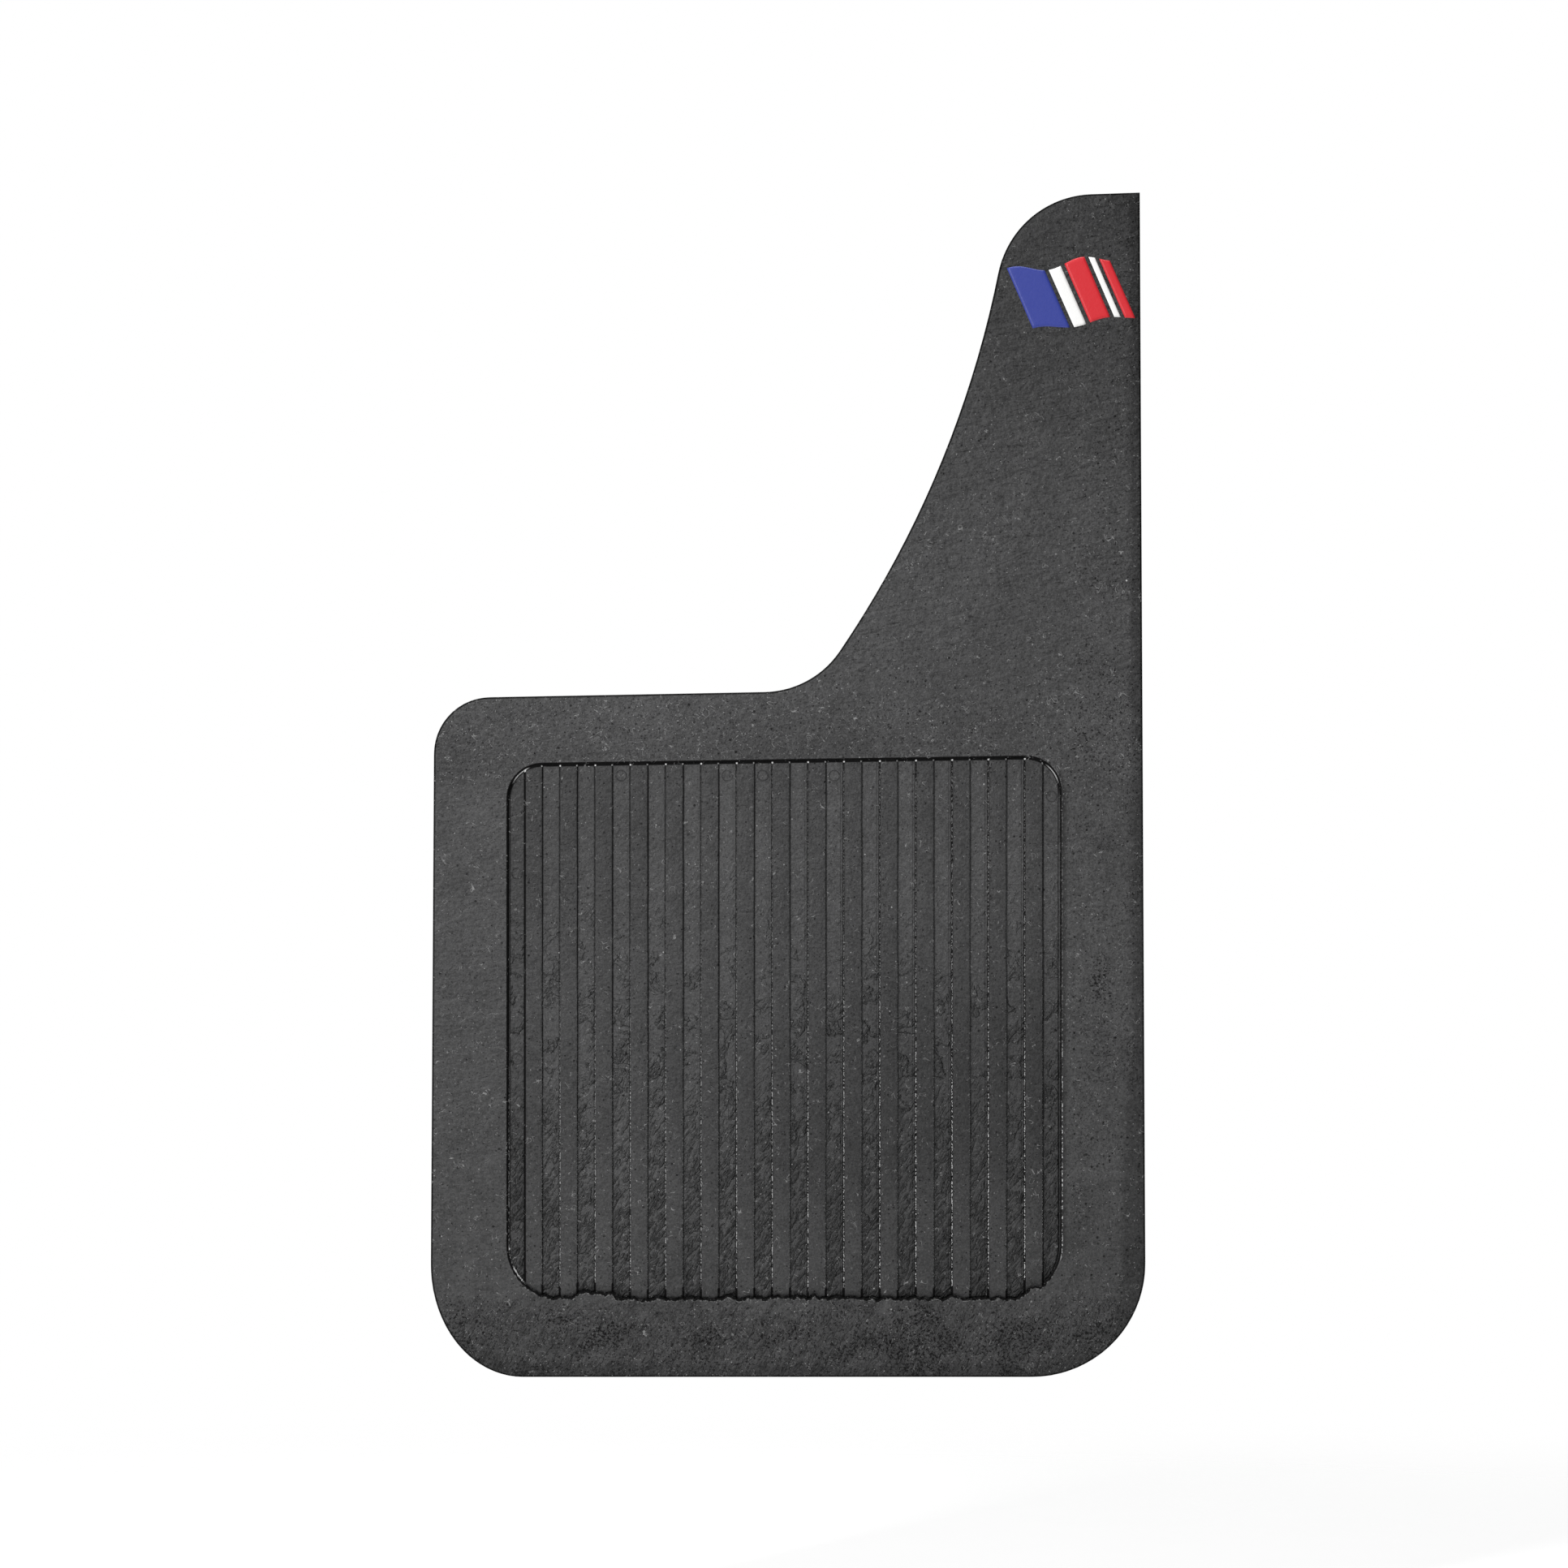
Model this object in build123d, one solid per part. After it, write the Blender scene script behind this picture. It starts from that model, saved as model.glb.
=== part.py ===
from build123d import *

import math
import os

# A moulded rubber mud flap: a wide ribbed panel that hangs from a narrow stem beside a wheel arch.
#
# The frame is in millimetres. X runs across the flap towards its straight outer edge, Z is up, and the
# plain back face lies in the plane Y = 0, so the ribbed front face looks along -Y. The origin is on that
# back face, in the middle of the stem, where the flap is held against the vehicle's flange.
#
# The flap is one rubber moulding. It bends across its neck, just above the shoulder, and that bend is a
# hinge here: the moulding is two solids, the stem and the panel, which meet in a rounded seat.

# Whole flap
WIDTH = 278.0
HEIGHT = 460.0
THICKNESS = 4.8
FRONT_EDGE_RADIUS = 1.4

# Outline: heights are above the bottom edge, and distances in are from the outer edge's lowest end
OUTER_EDGE_LEAN = 2.4
INNER_EDGE_SLOPE = 0.35
SHOULDER_HEIGHT = 263.6
SHOULDER_SLOPE = 1.08
TOP_SLOPE = 2.0
ARCH_RADIUS = 404.0
ARCH_FOOT_IN = 130.0
ARCH_HEAD_IN = 52.5
OUTER_BOTTOM_RADIUS = 44.0
INNER_BOTTOM_WIDTH = 36.0
INNER_BOTTOM_HEIGHT = 44.0
SHOULDER_RADIUS = 22.0
ARCH_FOOT_RADIUS = 36.0
ARCH_HEAD_RADIUS = 38.0

# The inner bottom corner is a quarter of an ellipse, drawn as a conic with this middle weight
QUARTER_WEIGHT = math.sqrt(0.5)

# Ribbed recess in the front of the panel
RECESS_DEPTH = 1.6
RECESS_OUTER_IN = 33.0
RECESS_WIDTH = 215.0
RECESS_BOTTOM = 30.4
RECESS_INNER_HEIGHT = 207.6
RECESS_SLOPE = 0.85
RECESS_TOP_RADIUS = 13.5
RECESS_BOTTOM_RADIUS = 20.5
RIB_COUNT = 15
RIB_HEIGHT = 1.2

# The ribs and the gaps between them widen slightly outwards: how far this shifts the middle ones inwards
RIB_CROWDING = 1.25

# Flex line between the stem and the panel
FLEX_HEIGHT = 271.4
FLEX_GAP = 0.3
FLEX_LIP = 1.5

# Printed film on the stem: a waving ribbon, tilted and leaning, placed by its middle
FILM_THICKNESS = 0.15
FILM_LENGTH = 40.0
FILM_HEIGHT = 24.0
FILM_WAVE = 2.2
FILM_LEAN = 6.7
FILM_TILT = 8.0
FILM_IN = 29.1
FILM_DOWN = 39.4

# Where the origin lies: the middle of the stem
ORIGIN_IN = 39.6
ORIGIN_HEIGHT = 362.5

# How many times longer than the flap the cutting blocks are
BLOCK_SHARE = 3

LEFT = ORIGIN_IN - WIDTH
RIGHT = ORIGIN_IN
BOTTOM = -ORIGIN_HEIGHT
TOP = HEIGHT - ORIGIN_HEIGHT
FLEX_Z = BOTTOM + FLEX_HEIGHT
FLEX_RADIUS = THICKNESS / 2


def rise(distance, slope):
    """How much a line of this slope, in degrees, rises over a distance."""
    return distance * math.tan(math.radians(slope))


def rounded(face, corners):
    """The face with each (point, radius) corner rounded."""
    for point, radius in corners:
        corner = face.vertices().sort_by_distance(Vector(*point))[0]
        face = fillet(corner, radius)
    return face


def flap_outline():
    """The flap's outline, drawn in the plane of its back face."""
    outer_top = (RIGHT - OUTER_EDGE_LEAN, TOP)
    outer_bottom = (RIGHT, BOTTOM)
    inner_bottom = (LEFT, BOTTOM)
    lean = INNER_EDGE_SLOPE
    shoulder = (LEFT + rise(SHOULDER_HEIGHT, lean), BOTTOM + SHOULDER_HEIGHT)
    foot_x = RIGHT - ARCH_FOOT_IN
    arch_foot = (foot_x, shoulder[1] + rise(foot_x - shoulder[0], SHOULDER_SLOPE))
    head_x = RIGHT - ARCH_HEAD_IN
    arch_head = (head_x, TOP - rise(outer_top[0] - head_x, TOP_SLOPE))
    corner_up = (LEFT + rise(INNER_BOTTOM_HEIGHT, lean), BOTTOM + INNER_BOTTOM_HEIGHT)
    corner_along = (LEFT + INNER_BOTTOM_WIDTH, BOTTOM)
    edges = [
        Line(outer_top, outer_bottom),
        Line(outer_bottom, corner_along),
        Bezier(corner_along, inner_bottom, corner_up, weights=[1, QUARTER_WEIGHT, 1]),
        Line(corner_up, shoulder),
        Line(shoulder, arch_foot),
        RadiusArc(arch_foot, arch_head, -ARCH_RADIUS),
        Line(arch_head, outer_top),
    ]
    corners = [
        (outer_bottom, OUTER_BOTTOM_RADIUS),
        (shoulder, SHOULDER_RADIUS),
        (arch_foot, ARCH_FOOT_RADIUS),
        (arch_head, ARCH_HEAD_RADIUS),
    ]
    return rounded(make_face(edges), corners)


def recess_outline():
    """The recess's outline, whose top edge slopes with the shoulder."""
    right = RIGHT - RECESS_OUTER_IN
    left = right - RECESS_WIDTH
    bottom = BOTTOM + RECESS_BOTTOM
    inner_top = bottom + RECESS_INNER_HEIGHT
    outer_top = inner_top + rise(RECESS_WIDTH, RECESS_SLOPE)
    points = [(left, bottom), (right, bottom), (right, outer_top), (left, inner_top)]
    radii = [RECESS_BOTTOM_RADIUS, RECESS_BOTTOM_RADIUS, RECESS_TOP_RADIUS, RECESS_TOP_RADIUS]
    return rounded(make_face(Polyline(*points, close=True)), zip(points, radii))


def rib_edge(number):
    """How far an edge between a rib and a gap is from the recess's inner side, counted from that side."""
    share = number / (2 * RIB_COUNT + 1)
    return RECESS_WIDTH * share - 4 * RIB_CROWDING * share * (1 - share)


def ribs():
    """The ribs' outlines: bars about as wide as the gaps between them, clipped to the recess."""
    recess = recess_outline()
    box = recess.bounding_box()
    bars = Sketch()
    for number in range(RIB_COUNT):
        start = box.min.X + rib_edge(2 * number + 1)
        end = box.min.X + rib_edge(2 * number + 2)
        bars += Pos((start + end) / 2, box.center().Y) * Rectangle(end - start, box.size.Y)
    return bars & recess


def flap():
    """The whole moulding, before it is divided at the flex line."""
    body = extrude(Plane.XZ * flap_outline(), THICKNESS)
    front_edges = body.faces().sort_by(Axis.Y)[0].edges()
    body = fillet(front_edges, FRONT_EDGE_RADIUS)
    front = Plane.XZ.offset(THICKNESS)
    body -= extrude(front * recess_outline(), -RECESS_DEPTH)
    floor = Plane.XZ.offset(THICKNESS - RECESS_DEPTH)
    return body + extrude(floor * ribs(), RIB_HEIGHT)


def flex_round(radius):
    """A round bar along the flex line, longer than the flap is wide."""
    middle = (0, -FLEX_RADIUS, FLEX_Z)
    return Pos(*middle) * Rot(0, 90, 0) * Cylinder(radius, BLOCK_SHARE * WIDTH)


def below(height):
    """Everything on the flap that is under a height, as a block."""
    size = BLOCK_SHARE * HEIGHT
    return Pos(0, 0, height - size / 2) * Box(size, size, size)


def stem(whole):
    """The stem, whose lower end is hollowed to seat the panel's rounded top."""
    return whole - below(FLEX_Z + FLEX_LIP) - flex_round(FLEX_RADIUS + FLEX_GAP)


def panel(whole):
    """The panel, whose top is rounded about the flex line."""
    return whole & (below(FLEX_Z) + flex_round(FLEX_RADIUS))


def film():
    """The printed film: a waving ribbon that leans, stuck on the stem's front face."""
    half = FILM_LENGTH / 2
    lift = FILM_HEIGHT / 2
    shift = FILM_LEAN / 2
    wave = [(-half, -FILM_WAVE), (-half / 2, FILM_WAVE), (half / 2, -FILM_WAVE), (half, FILM_WAVE)]
    upper = [(x - shift, z / 2 + lift) for x, z in wave]
    lower = [(x + shift, z / 2 - lift) for x, z in wave]
    edges = [
        Spline(*upper),
        Line(upper[-1], lower[-1]),
        Spline(*reversed(lower)),
        Line(lower[0], upper[0]),
    ]
    ribbon = Pos(RIGHT - FILM_IN, TOP - FILM_DOWN) * Rot(0, 0, FILM_TILT) * make_face(edges)
    return extrude(Plane.XZ.offset(THICKNESS) * ribbon, FILM_THICKNESS)


def main():
    os.makedirs("parts", exist_ok=True)
    whole = flap()
    nodes = {"flap_stem": stem(whole), "flap_panel": panel(whole), "decal_film": film()}
    for name, shape in nodes.items():
        export_step(shape, f"parts/{name}.step")


main()
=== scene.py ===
import math
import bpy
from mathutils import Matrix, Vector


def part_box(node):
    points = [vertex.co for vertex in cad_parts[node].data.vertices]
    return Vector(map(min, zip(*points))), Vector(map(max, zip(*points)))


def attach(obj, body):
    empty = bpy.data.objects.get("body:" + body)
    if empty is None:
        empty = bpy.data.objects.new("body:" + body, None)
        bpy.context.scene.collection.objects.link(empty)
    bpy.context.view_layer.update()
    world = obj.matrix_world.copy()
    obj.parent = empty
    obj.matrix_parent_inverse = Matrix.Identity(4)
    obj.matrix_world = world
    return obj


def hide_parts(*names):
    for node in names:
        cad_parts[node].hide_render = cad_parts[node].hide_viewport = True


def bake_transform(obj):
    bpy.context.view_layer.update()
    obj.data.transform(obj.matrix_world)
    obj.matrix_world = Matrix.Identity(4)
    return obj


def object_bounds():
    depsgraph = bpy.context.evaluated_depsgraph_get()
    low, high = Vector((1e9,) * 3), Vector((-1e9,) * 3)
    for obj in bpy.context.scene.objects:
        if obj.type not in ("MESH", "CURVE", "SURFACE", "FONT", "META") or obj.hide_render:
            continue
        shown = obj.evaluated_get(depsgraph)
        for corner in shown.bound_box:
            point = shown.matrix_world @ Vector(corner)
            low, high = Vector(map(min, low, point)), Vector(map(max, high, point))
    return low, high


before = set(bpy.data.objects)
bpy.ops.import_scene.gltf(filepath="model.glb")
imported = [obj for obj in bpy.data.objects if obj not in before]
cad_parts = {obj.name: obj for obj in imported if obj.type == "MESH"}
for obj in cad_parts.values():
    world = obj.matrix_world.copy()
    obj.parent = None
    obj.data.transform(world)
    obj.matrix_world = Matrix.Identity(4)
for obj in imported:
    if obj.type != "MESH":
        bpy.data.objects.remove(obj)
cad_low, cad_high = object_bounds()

from types import SimpleNamespace

import bpy
import numpy as np
from mathutils import Vector, noise
from mathutils.geometry import delaunay_2d_cdt

# The rubber's detail is small, so its mesh is worked out in millimetres and turned into metres at the end.
# In those arrays a point is (x, z), seen from the front, and depth is measured back from the front face.
MM = 0.001

# Ribs: the middle ones stand RIB_CROWDING left of even spacing, and their low ends fade out over RIB_END
RIB_COUNT = 15
RIB_CROWDING = 1.25
RIB_HEIGHT = 1.2
RIB_WALL = 0.62
RIB_CROWN = 0.1
RIB_END = 1.3

# Recess and edges: the front falls softly by SOFT_DROP over the last SOFT_EDGE before its outline
RECESS_DEPTH = 1.6
FRONT_ROUND = 0.65
BACK_ROUND = 0.35
SOFT_EDGE = 3.4
SOFT_DROP = 0.42

# Lip of flash along the recess's bottom edge: how far it stands out, and how far up the sides it fades
LIP_HEIGHT = 0.25
LIP_REACH = 9.0

# Tongues of flash on the lip: each one's start and end, from the recess's left edge, and its reach upwards
TONGUES = ((25.0, 42.0, 2.3), (197.0, 207.0, 1.6))

# Pitted patches: how far right of the recess's right side and above its bottom, and their two radii
PATCHES = ((-57.0, -17.0, 27.0, 8.0), (16.0, 124.0, 6.0, 12.0), (-14.0, -14.0, 18.0, 9.0))

# Mesh spacing: along the outline, down and beside the ribs, on the flats, and in rings inside the edges
LOOP_STEP = 1.35
ROW_STEP = 1.2
GRID_STEP = 1.8
BACK_STEP = 6.0
EDGE_RINGS = (0.07, 0.2, 0.4, 0.65, 1.1, 1.9, 3.0)
RIM_STEP = 0.75
RIM_RINGS = (-1.0, -0.55, -0.25, -0.05, 0.15, 0.35, 0.6, 0.9)
BACK_RINGS = (0.12, BACK_ROUND)
WALL_COLUMNS = (-0.62, -0.36, -0.12, 0.12, 0.36, 0.62)

# Camera: the share of the picture's height that the flap fills, and how far right and down it sits
LENS = 150.0
SENSOR = 36.0
HEIGHT_SHARE = 0.7557
PICTURE_RIGHT = 1.6
PICTURE_DOWN = 0.3

# Printed ribbon: each bar's colour and where it starts and ends along the ribbon, from 0 to 1
FILM_THICKNESS = 0.15
INK_RELIEF = 0.00006
RIBBON_LENGTH = 40.0
RIBBON_HEIGHT = 24.0
RIBBON_WAVE = 1.6
RIBBON_LEAN = 6.7
RIBBON_TILT = 8.0
BARS = (
    ("blue", 0.0, 0.36),
    ("white", 0.4, 0.52),
    ("red", 0.56, 0.76),
    ("white", 0.8, 0.86),
    ("red", 0.9, 1.0),
)
INKS = {
    "blue": (0.027, 0.043, 0.27, 1.0),
    "white": (0.86, 0.86, 0.85, 1.0),
    "red": (0.6, 0.016, 0.025, 1.0),
}

# Tones and studio; the floor's radius and its drop below the flap are in metres
BASE_TONE = 0.0528
# The pale colour that the dust and the painted highlights share
DUST_AND_GLINT_COLOUR = (0.6, 0.6, 0.6, 1.0)
WORLD_LIGHT = 0.2
FLOOR_RADIUS = 0.9
FLOOR_DROP = 0.1
FLOOR_SIDES = 96


# ---------------------------------------------------------------- outlines read from the frame

def cad_triangles(node):
    """A CAD node's triangles, as (triangle, corner, x y z) in millimetres."""
    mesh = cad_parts[node].data
    mesh.calc_loop_triangles()
    points = np.empty(len(mesh.vertices) * 3)
    mesh.vertices.foreach_get("co", points)
    corners = np.empty(len(mesh.loop_triangles) * 3, int)
    mesh.loop_triangles.foreach_get("vertices", corners)
    return points.reshape(-1, 3)[corners.reshape(-1, 3)] / MM


def area(loop):
    """A closed loop's area, which is positive when it runs anticlockwise."""
    after = np.roll(loop, -1, axis=0)
    return float((loop[:, 0] * after[:, 1] - after[:, 0] * loop[:, 1]).sum() / 2)


def flat_loops(node, y):
    """The closed edges of a CAD node's face in the plane y, anticlockwise, the one with most area first."""
    triangles = cad_triangles(node)
    flat = triangles[np.abs(triangles[:, :, 1] - y).max(axis=1) < 0.01]
    corners = np.round(flat[:, :, [0, 2]].reshape(-1, 2), 3)
    points, names = np.unique(corners, axis=0, return_inverse=True)
    names = names.reshape(-1, 3)
    sides = {(a, b) for t in names.tolist() for a, b in zip(t, t[1:] + t[:1])}
    follow = {a: b for a, b in sides if (b, a) not in sides}
    loops = []
    while follow:
        start, here = follow.popitem()
        chain = [start]
        while here != start:
            chain.append(here)
            here = follow.pop(here)
        loop = points[chain]
        loops.append(loop if area(loop) > 0 else loop[::-1])
    return sorted(loops, key=area, reverse=True)


def whole_outline():
    """The flap's outline on its back face: the panel's loop and the stem's, joined across the flex line."""
    panel = flat_loops("flap_panel", BACK_Y)[0]
    stem = flat_loops("flap_stem", BACK_Y)[0]
    panel_top = np.flatnonzero(panel[:, 1] > panel[:, 1].max() - 0.05)
    stem_foot = np.flatnonzero(stem[:, 1] < stem[:, 1].min() + 0.05)
    panel_start = panel_top[panel[panel_top, 0].argmin()]
    stem_start = stem_foot[stem[stem_foot, 0].argmax()]
    return np.vstack([np.roll(panel, -panel_start, axis=0), np.roll(stem, -stem_start, axis=0)])


# ---------------------------------------------------------------- loops, distances and noise

def run(loop):
    """The distance along a closed loop to each of its points, and back to the first."""
    closed = np.vstack([loop, loop[:1]])
    return np.concatenate([[0.0], np.cumsum(np.linalg.norm(np.diff(closed, axis=0), axis=1))])


def along(loop, distances):
    """The points at these distances along a closed loop."""
    closed = np.vstack([loop, loop[:1]])
    at = run(loop)
    return np.column_stack([np.interp(distances, at, closed[:, i]) for i in (0, 1)])


def filled(marks, total, step):
    """The marks along a loop of this length, with more between them so that no gap is over a step."""
    marks = np.unique(np.round(marks, 4))
    ends = np.append(marks[1:], marks[0] + total)
    counts = [max(1, math.ceil((b - a) / step)) for a, b in zip(marks, ends)]
    parts = [np.linspace(a, b, count, endpoint=False) for a, b, count in zip(marks, ends, counts)]
    return np.concatenate(parts) % total


def sharp_marks(loop, angle=30.0):
    """The distance along a loop to each of its sharp corners."""
    before = loop - np.roll(loop, 1, axis=0)
    after = np.roll(loop, -1, axis=0) - loop
    turn = np.arctan2(
        before[:, 0] * after[:, 1] - before[:, 1] * after[:, 0], (before * after).sum(axis=1)
    )
    return run(loop)[:-1][np.abs(turn) > math.radians(angle)]


def inward(loop):
    """The unit normals that point into an anticlockwise loop."""
    tangent = np.roll(loop, -1, axis=0) - np.roll(loop, 1, axis=0)
    tangent /= np.linalg.norm(tangent, axis=1)[:, None]
    return np.column_stack([-tangent[:, 1], tangent[:, 0]])


def distance_in(points, loop):
    """How far each point is inside a closed loop, and negative outside it."""
    start = loop.astype(np.float32)
    side = np.roll(start, -1, axis=0) - start
    length = (side**2).sum(axis=1)
    result = np.empty(len(points), np.float32)
    for first in range(0, len(points), 4000):
        part = points[first:first + 4000].astype(np.float32)
        dx = part[:, None, 0] - start[None, :, 0]
        dz = part[:, None, 1] - start[None, :, 1]
        t = np.clip((dx * side[:, 0] + dz * side[:, 1]) / length, 0, 1)
        gap = np.sqrt(((dx - t * side[:, 0]) ** 2 + (dz - t * side[:, 1]) ** 2).min(axis=1))
        spans = (dz < 0) != (dz < side[:, 1])
        reach = side[:, 0] * dz < dx * side[:, 1]
        crossed = (spans & (reach == (side[:, 1] > 0))).sum(axis=1)
        result[first:first + 4000] = np.where(crossed % 2 == 1, gap, -gap)
    return result


def smooth(value, low, high):
    """0 below low, 1 above high, and an even S between them."""
    t = np.clip((value - low) / (high - low), 0, 1)
    return t * t * (3 - 2 * t)


def field(points, size, seed=0.0, stretch=(1.0, 1.0), turn=0.0):
    """Smooth noise, about -1 to 1, with features of this size; stretch and turn give it a grain."""
    c, s = math.cos(math.radians(turn)), math.sin(math.radians(turn))
    u = (points[:, 0] * c + points[:, 1] * s) / (size * stretch[0])
    v = (points[:, 1] * c - points[:, 0] * s) / (size * stretch[1])
    return np.array([noise.noise(Vector((a, b, seed))) for a, b in zip(u.tolist(), v.tolist())])


# ---------------------------------------------------------------- the moulding's measurements

BACK_Y = cad_high.y / MM
FRONT_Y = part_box("flap_panel")[0].y / MM
OUTLINE = whole_outline()
RECESS = flat_loops("flap_panel", FRONT_Y)[1]
RECESS_LEFT, RECESS_BOTTOM = RECESS.min(axis=0)
RECESS_RIGHT, RECESS_TOP = RECESS.max(axis=0)
BAND = (RECESS_RIGHT - RECESS_LEFT) / (2 * RIB_COUNT + 1)


def band_edge(number):
    """The x of an edge between a rib and a gap, counted from the left; they widen slightly to the right."""
    share = number / (2 * RIB_COUNT + 1)
    return RECESS_LEFT + (RECESS_RIGHT - RECESS_LEFT) * share - 4 * RIB_CROWDING * share * (1 - share)


RIB_LEFTS = band_edge(1 + 2 * np.arange(RIB_COUNT))
RIB_RIGHTS = band_edge(2 + 2 * np.arange(RIB_COUNT))


def ragged(loop):
    """The recess's rim, whose bottom edge has a torn-looking lip of flash."""
    marks = filled([0.0], run(loop)[-1], 0.5)
    fine = along(loop, marks)
    low = 1 - smooth(fine[:, 1], RECESS_BOTTOM + 3.0, RECESS_BOTTOM + LIP_REACH + 3.0)
    across = fine[:, 0] - RECESS_LEFT
    torn = smooth(across, 9.0, 15.0)
    shift = 0.5 * field(fine, 30.0, 3.4) + 0.8 * field(fine, 7.0, 5.7)
    shift += 1.0 * field(fine, 2.6, 8.2) + 0.9 * field(fine, 1.4, 2.9)
    for start, end, height in TONGUES:
        shift += height * smooth(across, start, start + 4.0) * (1 - smooth(across, end - 1.5, end))
    return fine + inward(fine) * (shift * torn * low)[:, None]


RIM = ragged(RECESS)


def edge_loop():
    """The outline as evenly spaced points, with its sharp corners kept."""
    return along(OUTLINE, filled(sharp_marks(OUTLINE), run(OUTLINE)[-1], LOOP_STEP))


def nearest_gap(x, places):
    """The signed distance from each x to the nearest of these places."""
    gaps = x[:, None] - places[None, :]
    best = np.abs(gaps).argmin(axis=1)
    return gaps[np.arange(len(x)), best]


def rib_profile(x):
    """How much of a rib is at each x: 0 on the recess's floor, 1 on a rib, with drafted walls and a crown."""
    inside = np.minimum(x[:, None] - RIB_LEFTS, RIB_RIGHTS - x[:, None]).max(axis=1)
    wall = smooth(inside, -RIB_WALL / 2, RIB_WALL / 2)
    crown = 1 - (1 - np.clip(inside / (BAND / 2), 0, 1)) ** 2
    return wall + RIB_CROWN * crown


def front_depth(points, inset, into):
    """How deep the front surface lies at each point, from its distance inside the outline and the rim."""
    # Rounded edge, and the soft fall towards the outline
    corner = FRONT_ROUND - np.clip(inset, 0, FRONT_ROUND)
    depth = FRONT_ROUND - np.sqrt(FRONT_ROUND**2 - corner**2)
    outer = smooth(points[:, 0], OUTLINE[:, 0].max() - 9.0, OUTLINE[:, 0].max() - 4.0)
    bottom = 1 - smooth(points[:, 1], OUTLINE[:, 1].min() + 4.0, OUTLINE[:, 1].min() + 9.0)
    soft = SOFT_DROP * (0.3 + 0.7 * np.maximum(outer, bottom))
    depth += soft * (1 - np.clip(inset / SOFT_EDGE, 0, 1)) ** 2

    # Recess, ribs and the lip along its bottom edge
    low = 1 - smooth(points[:, 1], RECESS_BOTTOM + 2.0, RECESS_BOTTOM + LIP_REACH)
    rib_end = 1 - low * (1 - smooth(into, 0.3, RIB_END))
    wander = 0.16 * field(points, 22.0, 1.7, (0.2, 1.0))
    floor = RECESS_DEPTH - RIB_HEIGHT * rib_profile(points[:, 0] + wander) * rib_end
    wall_end = 0.75 - 0.35 * low
    depth += smooth(into, -0.15, wall_end) * floor
    depth -= LIP_HEIGHT * low * np.exp(-(((into + 0.5) / 0.45) ** 2))

    # Waviness, and wrinkles on the recess's floor and along the bottom border
    depth += 0.1 * field(points, 55.0, 4.4) + 0.045 * field(points, 12.0, 6.1)
    rough = smooth(into, 0.6, 1.4) * (1 - rib_profile(points[:, 0])).clip(0, 1)
    rough *= 1 - smooth(points[:, 1], RECESS_BOTTOM + 25, RECESS_BOTTOM + 120)
    depth += rough * 0.2 * field(points, 3.2, 9.3, (1.5, 0.8), 40.0)
    depth += bottom * smooth(inset, 3.0, 8.0) * 0.08 * field(points, 4.0, 2.3, (1.8, 0.7), 40.0)
    return depth


# ---------------------------------------------------------------- the flap's mesh

def ring(loop, offset, wanted):
    """A loop moved in by an offset, without points that fold over, and the sides that join its points."""
    moved = loop + inward(loop) * offset
    kept = np.abs(distance_in(moved, wanted) - offset) < 0.03
    sides = [(i, (i + 1) % len(loop)) for i in range(len(loop)) if kept[i] and kept[(i + 1) % len(loop)]]
    names = np.cumsum(kept) - 1
    return moved[kept], [(int(names[a]), int(names[b])) for a, b in sides]


def rib_columns():
    """The x of every line of points down the recess: close together on a rib's walls, wider on the flats."""
    edges = np.concatenate([RIB_LEFTS, RIB_RIGHTS])
    columns = [x + w for x in edges for w in WALL_COLUMNS]
    for band in range(2 * RIB_COUNT + 1):
        count = 3 if band % 2 else 4
        columns += [band_edge(band + (i + 1) / (count + 1)) for i in range(count)]
    return np.sort(np.array(columns))


def crossings(loop, columns):
    """The distances along a loop at which it crosses each column."""
    at = run(loop)
    after = np.roll(loop, -1, axis=0)
    marks = []
    for x in columns:
        for i in np.flatnonzero((loop[:, 0] - x) * (after[:, 0] - x) < 0):
            share = (x - loop[i, 0]) / (after[i, 0] - loop[i, 0])
            marks.append(at[i] + share * (at[i + 1] - at[i]))
    return marks


def hexagons(low, high, step, jitter=0.0):
    """Points in rows that are offset by half a step, in the rectangle from low to high."""
    rise = step * math.sqrt(3) / 2
    rows = np.arange(low[1], high[1], rise)
    places = np.arange(low[0], high[0], step)
    x, z = np.meshgrid(places, rows)
    x = x + (np.arange(len(rows)) % 2)[:, None] * step / 2
    points = np.column_stack([x.ravel(), z.ravel()])
    random = np.random.default_rng(7)
    return points + random.uniform(-jitter, jitter, points.shape)


class Sheet:
    """Points and the sides that the triangles between them must follow."""

    def __init__(self, loop):
        self.points = [loop]
        self.count = len(loop)
        self.sides = []

    def add(self, points, sides=()):
        self.sides += [(a + self.count, b + self.count) for a, b in sides]
        self.points.append(points)
        self.count += len(points)

    def triangles(self, loop_size):
        """The points after triangulation, the triangles, and which point each of the loop's became."""
        points = [Vector(p) for p in np.vstack(self.points).tolist()]
        result = delaunay_2d_cdt(points, self.sides, [list(range(loop_size))], 1, 1e-5)
        became = {origin: new for new, origins in enumerate(result[3]) for origin in origins}
        return (
            np.array([tuple(p) for p in result[0]]),
            np.array([tuple(f) for f in result[2]]),
            np.array([became[i] for i in range(loop_size)]),
        )


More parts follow.
